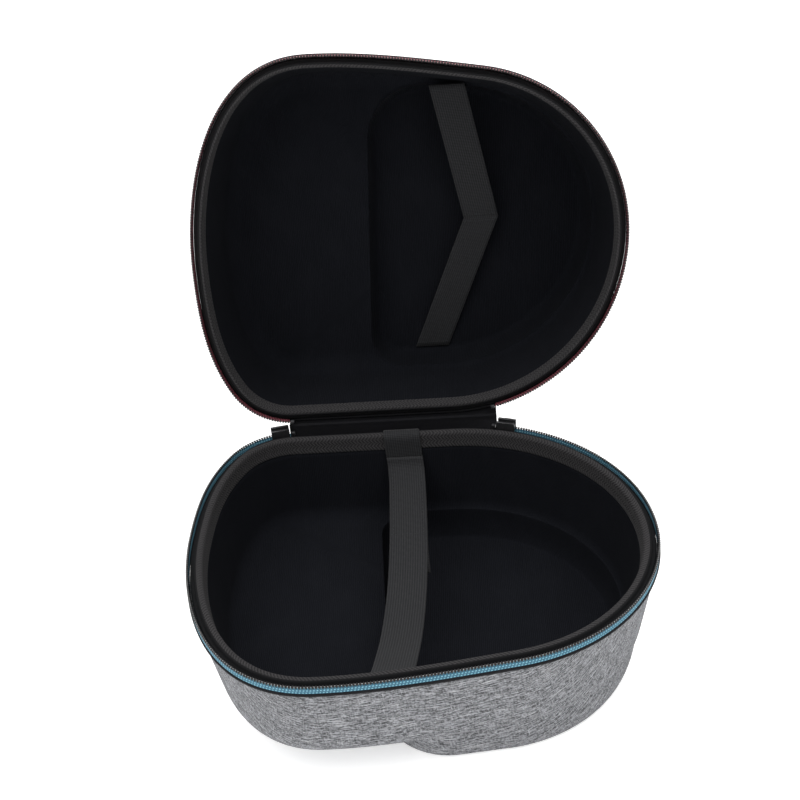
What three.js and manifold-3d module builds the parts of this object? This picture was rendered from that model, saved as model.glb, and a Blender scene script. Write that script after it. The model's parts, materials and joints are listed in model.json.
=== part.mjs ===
// Moulded carrying case for over-ear headphones, standing open on its base.
// Millimetres, +Z up, +Y towards the hinge. The origin is on the resting face, under the
// middle of the rim. Both halves are built as the same mould, then the lid is laid open.
import * as THREE from "three";
import { mergeVertices } from "three/addons/utils/BufferGeometryUtils.js";
import Module from "manifold-3d";

const wasm = await Module();
wasm.setup();

// ---------------------------------------------------------------- driving dimensions

// Rim outline, measured on the zip's tooth line.
const rimWidth = 233;
const rimDepth = 197;
const backY = rimDepth / 2;
const frontY = -rimDepth / 2;
const leftX = -116;
const backStraight = { from: -70, to: 18 };
const backRightRadius = 99;
const frontRightRadius = 88;
const frontRightTurn = 80;
const backLeftRadius = 37;
const backLeftTurn = 60;
const frontMiddleX = -47;
const leftMiddleY = 9.5;

// Depths, measured away from the tooth line.
const shellDepth = 57;
const platformDepth = 71;
const wallDraft = 6.75;
const bottomRadius = 17;
const fabricProud = 0.4;
const fabricTop = 5.6;
const foamTop = 2.9;
const liningTop = 9;
const layerGap = 0.3;

// Layer thicknesses. The base is moulded from a thicker sheet, so that it stays put.
const fabricThickness = 1.0;
const liningThickness = 0.8;
const foamThickness = { base: 5.0, lid: 2.8 };

// Raised platform that holds the ear cups: its outline stands inside the rim's.
const platformInset = 9;
const platformFrontCorner = 40;
const platformBackCorner = 24;
const platformLeftFrontX = -24;
const platformLeftBackX = -33;

// Lid.
const lidOpenAngle = 104.6;
const meetGap = 2.6;
const hingeAxis = { y: backY + 2.4, z: platformDepth + 3.63 };

// Zip.
const coilRadius = 0.7;
const tapeHalfThickness = 0.3;
const tapeTop = 1.1;
const tapeBottom = 4.0;
const pipingTop = 4.25;
const pipingBottom = 5.3;
const leftZipStart = 3;
const rightZipStart = 14.5;
const sliderLength = 10;

// Straps.
const baseStrapWidth = 20;
const lidStrapWidth = 19.5;
const strapThickness = 1.2;
const patchThickness = 0.7;

const radians = THREE.MathUtils.degToRad;

// ---------------------------------------------------------------- materials

function material(color, roughness, metalness = 0) {
  return new THREE.MeshStandardMaterial({ color, roughness, metalness });
}

const finishes = {
  greyFabric: () => material(0x85868a, 0.9),
  foam: () => material(0x2a2a2c, 0.8),
  lining: () => material(0x14161a, 0.95),
  binding: () => material(0x2e2f31, 0.9),
  blueTape: () => material(0x4a88a2, 0.8),
  redTape: () => material(0x8f3b44, 0.8),
  coil: () => material(0x1b1b1d, 0.45),
  piping: () => material(0x18181a, 0.85),
  hinge: () => material(0x1c1d1f, 0.9),
  elastic: () => material(0x3c3e3f, 0.9),
  hook: () => material(0x26272a, 0.85),
  darkMetal: () => material(0x4b4c50, 0.35, 0.9),
  grip: () => material(0x202124, 0.7),
};

// ---------------------------------------------------------------- closed meshes

// A geometry from vertices and triangles, turned to face out whichever way it was wound.
function closedGeometry(points, faces) {
  const a = new THREE.Vector3();
  const b = new THREE.Vector3();
  const c = new THREE.Vector3();
  let volume = 0;
  for (const [i, j, k] of faces) {
    a.fromArray(points[i]);
    b.fromArray(points[j]);
    c.fromArray(points[k]);
    volume += a.dot(b.cross(c));
  }
  const outward = volume < 0 ? faces.map(([i, j, k]) => [i, k, j]) : faces;
  const geometry = new THREE.BufferGeometry();
  geometry.setAttribute("position", new THREE.Float32BufferAttribute(points.flat(), 3));
  geometry.setIndex(outward.flat());
  return geometry;
}

function toSolid(geometry) {
  const bare = geometry.clone();
  bare.deleteAttribute("normal");
  bare.deleteAttribute("uv");
  const merged = mergeVertices(bare, 1e-4);
  return new wasm.Manifold(
    new wasm.Mesh({
      numProp: 3,
      vertProperties: new Float32Array(merged.attributes.position.array),
      triVerts: new Uint32Array(merged.index.array),
    }),
  );
}

function toGeometry(solid) {
  const mesh = solid.getMesh();
  const geometry = new THREE.BufferGeometry();
  geometry.setAttribute("position", new THREE.BufferAttribute(mesh.vertProperties, 3));
  geometry.setIndex(new THREE.BufferAttribute(mesh.triVerts, 1));
  return geometry;
}

// Stations are rings of points, all with the same count. They are joined one to the next,
// and the first and last are capped, or joined to each other when the loop is closed.
function loft(stations, closed = false) {
  const count = stations[0].length;
  const points = stations.flat();
  const faces = [];
  const last = closed ? stations.length : stations.length - 1;
  for (let s = 0; s < last; s++) {
    const here = s * count;
    const next = ((s + 1) % stations.length) * count;
    for (let i = 0; i < count; i++) {
      const j = (i + 1) % count;
      faces.push([here + i, here + j, next + j], [here + i, next + j, next + i]);
    }
  }
  if (!closed) {
    const top = (stations.length - 1) * count;
    for (const [i, j, k] of capTriangles(stations[0])) faces.push([k, j, i]);
    for (const [i, j, k] of capTriangles(stations.at(-1))) faces.push([top + i, top + j, top + k]);
  }
  return closedGeometry(points, faces);
}

// Triangles of a flat ring, worked out in the plane that it lies in.
function capTriangles(ring) {
  const origin = new THREE.Vector3().fromArray(ring[0]);
  const normal = new THREE.Vector3();
  for (let i = 0; i < ring.length; i++) {
    const a = new THREE.Vector3().fromArray(ring[i]).sub(origin);
    const b = new THREE.Vector3().fromArray(ring[(i + 1) % ring.length]).sub(origin);
    normal.add(a.cross(b));
  }
  normal.normalize();
  const across = new THREE.Vector3(0, 0, 1);
  if (Math.abs(normal.z) > 0.9) across.set(1, 0, 0);
  across.cross(normal).normalize();
  const along = normal.clone().cross(across);
  const flat = ring.map((p) => {
    const v = new THREE.Vector3().fromArray(p).sub(origin);
    return new THREE.Vector2(v.dot(across), v.dot(along));
  });
  return THREE.ShapeUtils.triangulateShape(flat, []);
}

// ---------------------------------------------------------------- outlines

const backRightCentre = { x: backStraight.to, y: backY - backRightRadius };
const frontRightCentre = { x: rimWidth / 2 + 0.5 - frontRightRadius, y: backRightCentre.y };
const backLeftCentre = { x: backStraight.from, y: backY - backLeftRadius };

function vec(x, y) {
  return new THREE.Vector2(x, y);
}

// Arc of a circle, angles in degrees counted from +X towards +Y.
function arc(centre, radius, from, to) {
  const clockwise = to < from;
  return new THREE.EllipseCurve(
    centre.x, centre.y, radius, radius, radians(from), radians(to), clockwise,
  );
}

// The rim runs clockwise seen from above, from the left end of the straight back edge.
function rimCurves() {
  const frontTurn = radians(frontRightTurn);
  const frontStart = vec(
    frontRightCentre.x + frontRightRadius * Math.cos(frontTurn),
    frontRightCentre.y - frontRightRadius * Math.sin(frontTurn),
  );
  const frontHeading = vec(-Math.sin(frontTurn), -Math.cos(frontTurn));
  const cornerTurn = radians(90 + backLeftTurn);
  const cornerStart = vec(
    backLeftCentre.x + backLeftRadius * Math.cos(cornerTurn),
    backLeftCentre.y + backLeftRadius * Math.sin(cornerTurn),
  );
  const cornerHeading = vec(Math.sin(cornerTurn), -Math.cos(cornerTurn));
  return [
    [new THREE.LineCurve(vec(backStraight.from, backY), vec(backStraight.to, backY)), 3],
    [arc(backRightCentre, backRightRadius, 90, 0), 12],
    [arc(frontRightCentre, frontRightRadius, 0, -frontRightTurn), 9],
    [new THREE.CubicBezierCurve(
      frontStart,
      frontStart.clone().addScaledVector(frontHeading, 30),
      vec(frontMiddleX + 30, frontY),
      vec(frontMiddleX, frontY),
    ), 4],
    [new THREE.CubicBezierCurve(
      vec(frontMiddleX, frontY),
      vec(frontMiddleX - 54, frontY),
      vec(leftX, leftMiddleY - 41),
      vec(leftX, leftMiddleY),
    ), 9],
    [new THREE.CubicBezierCurve(
      vec(leftX, leftMiddleY),
      vec(leftX, leftMiddleY + 30),
      cornerStart.clone().addScaledVector(cornerHeading, -22),
      cornerStart,
    ), 4],
    [arc(backLeftCentre, backLeftRadius, 90 + backLeftTurn, 90), 7],
  ];
}

// The platform keeps to the rim's arcs, and closes with a slanted line on its left.
function platformCurves() {
  const right = backRightRadius - platformInset;
  const front = frontRightRadius - platformInset;
  const back = backY - platformInset;
  const turn = radians(frontRightTurn);
  const frontEnd = vec(
    frontRightCentre.x + front * Math.cos(turn),
    frontRightCentre.y - front * Math.sin(turn),
  );
  const leftFront = vec(platformLeftFrontX, frontY + platformInset + 3);
  const leftBack = vec(platformLeftBackX, back);
  const up = leftBack.clone().sub(leftFront).normalize();
  const towardsFront = frontEnd.clone().sub(leftFront).normalize();
  const frontA = leftFront.clone().addScaledVector(towardsFront, platformFrontCorner);
  const frontB = leftFront.clone().addScaledVector(up, platformFrontCorner);
  const backA = leftBack.clone().addScaledVector(up, -platformBackCorner);
  const backB = vec(leftBack.x + platformBackCorner, back);
  return [
    [new THREE.LineCurve(backB, vec(backStraight.to, back)), 1],
    [arc(backRightCentre, right, 90, 0), 10],
    [arc(frontRightCentre, front, 0, -frontRightTurn), 8],
    [new THREE.LineCurve(frontEnd, frontA), 1],
    [cornerCurve(frontA, leftFront, frontB), 6],
    [new THREE.LineCurve(frontB, backA), 1],
    [cornerCurve(backA, leftBack, backB), 4],
  ];
}

// Rounds a corner like an arc, for corners that turn by about a right angle.
function cornerCurve(start, corner, end) {
  const pull = 0.5523;
  return new THREE.CubicBezierCurve(
    start, start.clone().lerp(corner, pull), end.clone().lerp(corner, pull), end,
  );
}

// Points along the curves, each with the normal that points out of the outline.
function sampleOutline(curves) {
  return curves.flatMap(([curve, steps]) =>
    Array.from({ length: steps }, (_, i) => {
      const at = curve.getPoint(i / steps);
      const along = curve.getTangent(i / steps);
      return { x: at.x, y: at.y, nx: -along.y, ny: along.x };
    }),
  );
}

const rim = sampleOutline(rimCurves());
const platform = sampleOutline(platformCurves());

// One ring of the outline, moved out by n and standing at height z.
function ringAt(outline, n, z) {
  return outline.map((p) => [p.x + p.nx * n, p.y + p.ny * n, z]);
}

// ---------------------------------------------------------------- shells

// How far the wall stands out from the tooth line at a depth, under a layer t thick.
function wallOut(depth, t = 0) {
  return fabricProud - t - (wallDraft * depth) / (shellDepth - bottomRadius);
}

// The solid that a half fills, from its mouth down, after peeling off a skin t thick.
function cupSolid(t, mouth) {
  const stations = [ringAt(rim, wallOut(mouth, t), -mouth)];
  const radius = bottomRadius - t;
  const wallEnd = shellDepth - bottomRadius;
  const filletSteps = 4;
  for (let i = 0; i <= filletSteps; i++) {
    const turn = (i / filletSteps) * (Math.PI / 2);
    const n = wallOut(wallEnd, t) - radius * (1 - Math.cos(turn));
    stations.push(ringAt(rim, n, -(wallEnd + radius * Math.sin(turn))));
  }
  return toSolid(loft(stations));
}

// The platform under a skin t thick: [height over its floor, distance in from its outline].
function platformSolid(t) {
  const profile = [[33, 0], [16, 0.5], [8, 1.7], [3, 3.3], [0.7, 4.7], [0, 6.4]];
  const floor = t - platformDepth;
  const stations = profile.map(([height, inset]) => ringAt(platform, -inset - t, floor + height));
  return toSolid(loft(stations));
}

function moulding(t, mouth) {
  return cupSolid(t, mouth).add(platformSolid(t));
}

// One layer of the wall, between two skins, with a level mouth.
function layer(outerSkin, innerSkin, mouth) {
  const clearOfMouth = 3;
  return toGeometry(moulding(outerSkin, mouth).subtract(moulding(innerSkin, mouth - clearOfMouth)));
}

// ---------------------------------------------------------------- rim trim

// The stretch of rim that carries the zip: it leaves out the hinge.
function zipStretch() {
  const right = backRightCentre;
  const start = rightZipStart;
  const curves = rimCurves();
  curves[0] = null;
  curves[1] = [arc(right, backRightRadius, 90 - start, 0), 11];
  const left = curves[6];
  curves[6] = [arc(backLeftCentre, backLeftRadius, 90 + backLeftTurn, 90 + leftZipStart), left[1]];
  const stations = sampleOutline(curves.filter(Boolean));
  const end = curves[6][0];
  const at = end.getPoint(1);
  const along = end.getTangent(1);
  stations.push({ x: at.x, y: at.y, nx: -along.y, ny: along.x });
  return stations;
}

const zipLine = zipStretch();

// A section of [n, z] points carried along the outline.
function trim(outline, section, closed) {
  return loft(
    outline.map((p) => section.map(([n, z]) => [p.x + p.nx * n, p.y + p.ny * n, z])),
    closed,
  );
}

function rimBinding(foam) {
  const grooveOut = -1.2;
  const grooveIn = -3.3;
  const grooveTop = -1.9;
  const beadTop = -0.3;
  const under = -2.6;
  const legOut = fabricThickness + layerGap + foam + layerGap;
  const legIn = legOut + 1.1;
  const legEnd = 8.6;
  return trim(rim, [
    [grooveOut, grooveTop],
    [grooveIn, grooveTop],
    [grooveIn, beadTop],
    [wallOut(1, legIn) + 0.6, beadTop],
    [wallOut(1, legIn), -1.0],
    [wallOut(legEnd, legIn), -legEnd],
    [wallOut(legEnd, legOut), -legEnd],
    [wallOut(-under, legOut), under],
    [grooveOut, under],
  ], true);
}

function zipCoil() {
  const sides = 6;
  const section = Array.from({ length: sides }, (_, i) => {
    const turn = ((i + 0.5) / sides) * 2 * Math.PI;
    return [coilRadius * Math.cos(turn), coilRadius * Math.sin(turn)];
  });
  return trim(zipLine, section, false);
}

function zipTape() {
  const half = tapeHalfThickness;
  return trim(zipLine, [[-half, -tapeTop], [half, -tapeTop], [half, -tapeBottom], [-half, -tapeBottom]],
    false);
}

function edgePiping() {
  return trim(rim, [
    [-0.5, -pipingTop],
    [0.5, -pipingTop],
    [0.9, -(pipingTop + pipingBottom) / 2],
    [0.5, -pipingBottom],
    [-0.5, -pipingBottom],
  ], true);
}

// ---------------------------------------------------------------- hinge

// Fabric flap of one half: it lies on the wall and reaches up to the hinge line.
function hingeLeaf(tip) {
  const lowDepth = 14;
  const section = [
    [wallOut(lowDepth) + 0.35, -lowDepth],
    [wallOut(lowDepth) + 1.15, -lowDepth],
    [2.2, -4],
    tip.outer,
    tip.inner,
    [1.3, -4],
  ];
  const from = backStraight.from - 2.4;
  const to = backStraight.to + 25.2;
  const stations = [from, to].map((x) => section.map(([n, z]) => [x, backY + n, z]));
  return loft(stations);
}

// ---------------------------------------------------------------- straps

// A flat band. Its stations are [x, y, z]; its width runs along X.
function band(path, width, thickness) {
  const stations = path.map(([x, y, z], i) => {
    const before = path[Math.max(i - 1, 0)];
    const after = path[Math.min(i + 1, path.length - 1)];
    const across = vec(-(after[2] - before[2]), after[1] - before[1]).normalize();
    const dy = (across.x * thickness) / 2;
    const dz = (across.y * thickness) / 2;
    return [
      [x - width / 2, y - dy, z - dz],
      [x + width / 2, y - dy, z - dz],
      [x + width / 2, y + dy, z + dz],
      [x - width / 2, y + dy, z + dz],
    ];
  });
  return loft(stations);
}

// Smooth path through a few points.
function smoothPath(points, steps) {
  const curve = new THREE.CatmullRomCurve3(points.map((p) => new THREE.Vector3(...p)));
  return curve.getPoints(steps).map((p) => p.toArray());
}

// The base strap hangs across the hollow. Its front band overlaps its rear band near the
// hinge, where a hook patch and a loop patch hold the two together.
const frontBandRoute = [
  [-8.9, backY - 12.6, -11.5],
  [-8.4, backY - 14.6, -15.6],
  [-8, backY - 20, -18.6],
  [-7.5, backY - 40, -21.5],
  [-7.3, backY - 70, -25],
  [-8, backY - 105, -26.5],
  [-9.8, backY - 140, -22.5],
  [-12, backY - 170, -13],
  [-13.2, backY - 184.4, -6.8],
];
const rearBandRoute = [
  [-10, backY - 3.8, 0.7],
  [-9.9, backY - 6.6, 0.7],
  [-9.8, backY - 8.3, -0.4],
  [-9.7, backY - 8.9, -2.4],
  [-9.2, backY - 10, -9.5],
  [-8.6, backY - 12, -17.5],
  [-8, backY - 24, -23.2],
  [-7.5, backY - 42, -26],
  [-7.3, backY - 66, -29.6],
  [-6.5, backY - 80, -38],
];
const patchRoute = [
  [-7.5, backY - 40, -21.6],
  [-7.3, backY - 62, -24.5],
];
const loopPatchDrop = 1.4;
const hookPatchDrop = 2.4;

function patch(drop) {
  const path = patchRoute.map(([x, y, z]) => [x, y, z - drop]);
  return band(path, baseStrapWidth - 2, patchThickness);
}

// The lid's strap runs from the wall to a fold, and from the fold to the platform.
const lidStrapFrontEnd = [25.2, frontY + 22.5, -40.5];
const lidStrapFold = [40.7, 0.5, -55];
const lidStrapBackEnd = [8.7, backY - 20.5, -64.7];

function lidStrapHalf(end) {
  const foldGap = 0.3;
  const [x, y, z] = lidStrapFold;
  return band([end, [x, y + Math.sign(end[1] - y) * foldGap, z]], lidStrapWidth, strapThickness);
}

// ---------------------------------------------------------------- zip sliders

// Pieces of a slider are made in a frame of their own: X along the zip, Y out of the case,
// Z up, with the origin on the tooth line.
const plateIn = { from: -2.8, to: -1.5 };
const plateOut = { from: 1.2, to: 2.4 };
const plateLow = -1.5;
const plateHigh = 4.1;
const bridgeMiddle = meetGap / 2;
const bridgeThickness = 0.7;
const pinOut = 4.1;
const pinRadius = 0.5;
const earHalfSpan = 2.4;
const earThickness = 0.9;

function block(x, y, z) {
  const geometry = new THREE.BoxGeometry(x.to - x.from, y.to - y.from, z.to - z.from);
  geometry.translate((x.from + x.to) / 2, (y.from + y.to) / 2, (z.from + z.to) / 2);
  return toSolid(geometry);
}

function rodAlongX(radius, halfLength, y, z) {
  const geometry = new THREE.CylinderGeometry(radius, radius, halfLength * 2, 12);
  geometry.rotateZ(Math.PI / 2);
  geometry.translate(0, y, z);
  return toSolid(geometry);
}

// Two plates astride the teeth, the thin bridge between them at the leading end, and a
// pair of ears that hold the pull's pin.
function sliderBody(leading) {
  const half = sliderLength / 2;
  const height = { from: plateLow, to: plateHigh };
  const bridgeX = leading > 0 ? { from: half - 3, to: half } : { from: -half, to: 3 - half };
  let solid = block({ from: -half, to: half }, plateIn, height)
    .add(block({ from: -half, to: half }, plateOut, height))
    .add(block(bridgeX, { from: plateIn.from, to: plateOut.to }, {
      from: bridgeMiddle - bridgeThickness / 2,
      to: bridgeMiddle + bridgeThickness / 2,
    }));
  for (const side of [-1, 1]) {
    const inner = side * earHalfSpan;
    const outer = side * (earHalfSpan + earThickness);
    solid = solid.add(block(
      { from: Math.min(inner, outer), to: Math.max(inner, outer) },
      { from: plateOut.to - 0.2, to: pinOut + 0.7 },
      { from: bridgeMiddle - 0.9, to: bridgeMiddle + 0.9 },
    ));
  }
  return toGeometry(solid.add(rodAlongX(pinRadius, earHalfSpan + earThickness / 2, pinOut, bridgeMiddle)));
}

const ringRadius = 1.4;
const linkHalfWidth = 2;
const linkEnd = -7;
const gripEnd = -27;

// Metal link that hangs from the pin: a ring at the top, then a flat tongue.
function pullLink() {
  const tongue = block(
    { from: -linkHalfWidth, to: linkHalfWidth },
    { from: pinOut - 0.5, to: pinOut + 0.5 },
    { from: linkEnd, to: bridgeMiddle - 0.9 },
  );
  return toGeometry(
    rodAlongX(ringRadius, linkHalfWidth, pinOut, bridgeMiddle)
      .add(tongue)
      .subtract(rodAlongX(pinRadius + 0.3, linkHalfWidth + 1, pinOut, bridgeMiddle)),
  );
}

// Soft grip moulded on the link's lower end: rounded corners, a slot for the tongue.
function pullGrip() {
  const halfWidth = 3.4;
  const corner = 2;
  const halfThickness = 1.1;
  const top = linkEnd + 4;
  const shape = new THREE.Shape();
  shape.moveTo(-halfWidth + corner, gripEnd);
  shape.absarc(halfWidth - corner, gripEnd + corner, corner, -Math.PI / 2, 0);
  shape.absarc(halfWidth - corner, top - corner, corner, 0, Math.PI / 2);
  shape.absarc(-halfWidth + corner, top - corner, corner, Math.PI / 2, Math.PI);
  shape.absarc(-halfWidth + corner, gripEnd + corner, corner, Math.PI, 1.5 * Math.PI);
  const geometry = new THREE.ExtrudeGeometry(shape, {
    depth: 2 * halfThickness, bevelEnabled: false, curveSegments: 4,
  });
  geometry.rotateX(Math.PI / 2);
  geometry.translate(0, pinOut + halfThickness, 0);
  const slot = block(
    { from: -linkHalfWidth - layerGap, to: linkHalfWidth + layerGap },
    { from: pinOut - 0.5 - layerGap, to: pinOut + 0.5 + layerGap },
    { from: linkEnd - layerGap, to: top + 1 },
  );
  return toGeometry(toSolid(geometry).subtract(slot));
}

function zipStop() {
  return toGeometry(block(
    { from: -1, to: 1 },
    { from: -0.9, to: 0.9 },
    { from: -1.6, to: 0.8 },
  ));
}

// ---------------------------------------------------------------- assembly

function part(name, geometry, finish) {
  const mesh = new THREE.Mesh(geometry, finishes[finish]());
  mesh.name = name;
  return mesh;
}

// The same piece for the other half: turned over through the plane of the rim.
function turnedOver(geometry) {
  const over = geometry.clone().scale(1, 1, -1);
  const index = over.index.array;
  for (let i = 0; i < index.length; i += 3) [index[i], index[i + 1]] = [index[i + 1], index[i]];
  return over;
}

// Everything that both halves have: the layers of the shell and the trim along the rim.
function half(name, foam, tapeFinish) {
  const foamSkin = fabricThickness + layerGap;
  const liningSkin = foamSkin + foam + layerGap;
  return [
    part(name + "_outer_fabric", layer(0, fabricThickness, fabricTop), "greyFabric"),
    part(name + "_foam_shell", layer(foamSkin, foamSkin + foam, foamTop), "foam"),
    part(name + "_lining", layer(liningSkin, liningSkin + liningThickness, liningTop), "lining"),
    part(name + "_rim_binding", rimBinding(foam), "binding"),
    part(name + "_zip_tape", zipTape(), tapeFinish),
    part(name + "_zip_coil", zipCoil(), "coil"),
    part(name + "_edge_piping", edgePiping(), "piping"),
  ];
}

// A group that stands on the tooth line, its Y axis pointing out of the case. The angle is
// counted from the back, positive towards the left.
function onTrack(centre, radius, angle, meshes) {
  const group = new THREE.Group();
  const turn = radians(angle);
  group.position.set(centre.x - radius * Math.sin(turn), centre.y + radius * Math.cos(turn), 0);
  group.rotation.z = turn;
  group.add(...meshes);
  return group;
}

const degreesPerMillimetre = (radius) => THREE.MathUtils.radToDeg(1 / radius);
const stopBefore = 1.6;
const sliderAfter = 0.6 + sliderLength / 2;

function zipEnd(side, centre, radius, start, turnSign) {
  const perMillimetre = degreesPerMillimetre(radius);
  const stopAngle = turnSign * (start - stopBefore * perMillimetre);
  const sliderAngle = turnSign * (start + sliderAfter * perMillimetre);
  return {
    stop: (name) => onTrack(centre, radius, stopAngle, [part(name, zipStop(), "darkMetal")]),
    slider: onTrack(centre, radius, sliderAngle, [
      part(side + "_slider", sliderBody(-turnSign), "darkMetal"),
      part(side + "_pull_link", pullLink(), "darkMetal"),
      part(side + "_pull_grip", pullGrip(), "grip"),
    ]),
  };
}

const leftEnd = zipEnd("left", backLeftCentre, backLeftRadius, leftZipStart, 1);
const rightEnd = zipEnd("right", backRightCentre, backRightRadius, rightZipStart, -1);

const base = new THREE.Group();
base.position.z = platformDepth;
base.add(
  ...half("base", foamThickness.base, "blueTape"),
  part("base_hinge_leaf", hingeLeaf({ outer: [2.8, 2.9], inner: [2.1, 3.05] }), "hinge"),
  part("strap_rear_band", band(smoothPath(rearBandRoute, 30), baseStrapWidth, strapThickness), "elastic"),
  part("strap_front_band", band(smoothPath(frontBandRoute, 24), baseStrapWidth, strapThickness),
    "elastic"),
  part("strap_loop_patch", patch(loopPatchDrop), "hook"),
  part("strap_hook_patch", patch(hookPatchDrop), "hook"),
  leftEnd.stop("base_left_zip_stop"),
  rightEnd.stop("base_right_zip_stop"),
  leftEnd.slider,
  rightEnd.slider,
);

const lid = new THREE.Group();
lid.position.set(0, -hingeAxis.y, platformDepth + meetGap - hingeAxis.z);
lid.add(
  ...half("lid", foamThickness.lid, "redTape"),
  part("lid_hinge_leaf", hingeLeaf({ outer: [2.9, -1.7], inner: [2.1, -1.6] }), "hinge"),
  part("lid_strap_front_half", lidStrapHalf(lidStrapFrontEnd), "elastic"),
  part("lid_strap_back_half", lidStrapHalf(lidStrapBackEnd), "elastic"),
  leftEnd.stop("lid_left_zip_stop"),
  rightEnd.stop("lid_right_zip_stop"),
);
lid.traverse((piece) => {
  if (piece.isMesh) piece.geometry = turnedOver(piece.geometry);
});

const lidHinge = new THREE.Group();
lidHinge.position.set(0, hingeAxis.y, hingeAxis.z);
lidHinge.rotation.x = -radians(lidOpenAngle);
lidHinge.add(lid);

const carryingCase = new THREE.Group();
carryingCase.add(base, lidHinge);

export default carryingCase;
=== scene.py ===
"""Looks for the headphone carrying case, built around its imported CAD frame.

Lengths are millimetres until a mesh is made, then metres. Each half is drawn in the frame of
its mould: x and y lie in the plane of the zip's teeth, and height is measured from that plane
towards the other half, so everything inside a half has a negative height.
"""

import functools
import json
import math

import bpy
import numpy as np
from mathutils import Matrix, Vector


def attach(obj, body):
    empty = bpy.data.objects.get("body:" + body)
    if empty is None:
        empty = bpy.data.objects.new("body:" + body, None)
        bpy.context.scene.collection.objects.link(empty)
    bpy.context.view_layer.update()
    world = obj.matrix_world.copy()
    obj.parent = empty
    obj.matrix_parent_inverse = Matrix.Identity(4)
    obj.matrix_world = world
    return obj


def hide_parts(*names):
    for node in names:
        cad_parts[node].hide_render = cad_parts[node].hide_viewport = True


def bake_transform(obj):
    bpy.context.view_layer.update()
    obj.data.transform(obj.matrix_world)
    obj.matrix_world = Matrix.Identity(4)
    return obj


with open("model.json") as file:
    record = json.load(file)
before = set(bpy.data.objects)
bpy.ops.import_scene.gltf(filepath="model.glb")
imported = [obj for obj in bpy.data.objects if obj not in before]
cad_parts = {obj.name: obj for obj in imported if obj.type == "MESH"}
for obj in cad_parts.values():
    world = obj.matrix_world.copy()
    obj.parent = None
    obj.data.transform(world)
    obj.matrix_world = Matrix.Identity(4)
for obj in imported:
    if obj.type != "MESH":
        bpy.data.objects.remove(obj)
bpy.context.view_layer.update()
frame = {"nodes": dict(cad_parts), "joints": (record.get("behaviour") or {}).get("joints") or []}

MM = 0.001

# ---- sizes from the joints

JOINTS = {joint["name"]: joint for joint in frame["joints"]}


def joint_point(name):
    """Where a joint is, in millimetres."""
    return [c / MM for c in JOINTS[name]["pos_m"]]


HINGE_Y, HINGE_Z = joint_point("lid_hinge")[1:]
OPEN_ANGLE = math.radians(JOINTS["lid_hinge"]["range_deg"][1])
BACK_LEFT_CENTRE = joint_point("left_slider_travel")[:2]
BACK_RIGHT_CENTRE = joint_point("right_slider_travel")[:2]
RIM_Z = joint_point("left_slider_travel")[2]

# ---- sizes of the mould

HINGE_OUT = 2.4
MEET_GAP = 2.6
BACK_Y = HINGE_Y - HINGE_OUT
FRONT_Y = -BACK_Y
LEFT_X = -116
NOSE_X = 117
BACK_RIGHT_RADIUS = BACK_Y - BACK_RIGHT_CENTRE[1]
BACK_LEFT_RADIUS = BACK_Y - BACK_LEFT_CENTRE[1]
BACK_LEFT_TURN = 60
FRONT_RIGHT_RADIUS = 88
FRONT_RIGHT_TURN = 80
FRONT_MIDDLE_X = -47
LEFT_MIDDLE_Y = 9.5

SHELL_DEPTH = 57
PLATFORM_DEPTH = RIM_Z
BOTTOM_RADIUS = 17
WALL_SLOPE = 6.75 / 40
FABRIC_PROUD = 0.4
PLATFORM_INSET = 9
PLATFORM_FRONT_CORNER = 40
PLATFORM_BACK_CORNER = 24
PLATFORM_FRONT_X = -24
PLATFORM_BACK_X = -33
PLATFORM_EDGE = [(0, 33), (0.5, 16), (1.7, 8), (3.3, 3), (4.7, 0.7), (6.4, 0)]
PLATFORM_BLEND = 1.6
BLEND_SPREAD = 12
POLE = np.array([34.0, 0.0])

FABRIC_MOUTH = 5.5
FOAM_MOUTH = 2.9
LINING_MOUTH = 8.8
FABRIC_SKIN = 1.0
LAYER_GAP = 0.3
LINING_SKIN = 0.8
BAND_OVER = 1.1

LEFT_ZIP_START = 3
RIGHT_ZIP_START = 14.5
TOOTH_PITCH = 1.5

# How finely the mould is sampled: stations round the rim, points down each line, and rings
# of the mesh on a side that is seen or hidden.
STATIONS = 200
WALL_POINTS = 30
CORNER_POINTS = 90
FLOOR_POINTS = 200
LINE_POINTS = 420
SEEN_RINGS = 100
HIDDEN_RINGS = 34

# ---- curves


def smooth_path(points, count):
    """A Catmull-Rom curve through the points, sampled evenly along its length."""
    p = np.array(points, float)
    p = np.vstack([2 * p[0] - p[1], p, 2 * p[-1] - p[-2]])
    knots = np.concatenate([[0], np.cumsum(np.linalg.norm(np.diff(p, axis=0), axis=1) ** 0.5)])
    dense = []
    for i in range(1, len(p) - 2):
        t0, t1, t2, t3 = knots[i - 1 : i + 3]
        t = np.linspace(t1, t2, 40, endpoint=i == len(p) - 3)[:, None]
        a1 = ((t1 - t) * p[i - 1] + (t - t0) * p[i]) / (t1 - t0)
        a2 = ((t2 - t) * p[i] + (t - t1) * p[i + 1]) / (t2 - t1)
        a3 = ((t3 - t) * p[i + 1] + (t - t2) * p[i + 2]) / (t3 - t2)
        b1 = ((t2 - t) * a1 + (t - t0) * a2) / (t2 - t0)
        b2 = ((t3 - t) * a2 + (t - t1) * a3) / (t3 - t1)
        dense.append(((t2 - t) * b1 + (t - t1) * b2) / (t2 - t1))
    return evenly(np.vstack(dense), count)


def evenly(points, count):
    """The same open line with count points spaced evenly along it."""
    run = run_of(points)
    return sampled(points, run, np.linspace(0, run[-1], count))


def run_of(points):
    """Length along a line of points, from 0 at the first."""
    return np.concatenate([[0], np.cumsum(np.linalg.norm(np.diff(points, axis=0), axis=1))])


def sampled(points, run, at):
    """Points of a line at these lengths along it, where run is run_of(points)."""
    return np.stack([np.interp(at, run, c) for c in points.T], axis=-1)


def unit(vectors):
    """The vectors scaled to length 1."""
    return vectors / np.linalg.norm(vectors, axis=1)[:, None]


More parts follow.
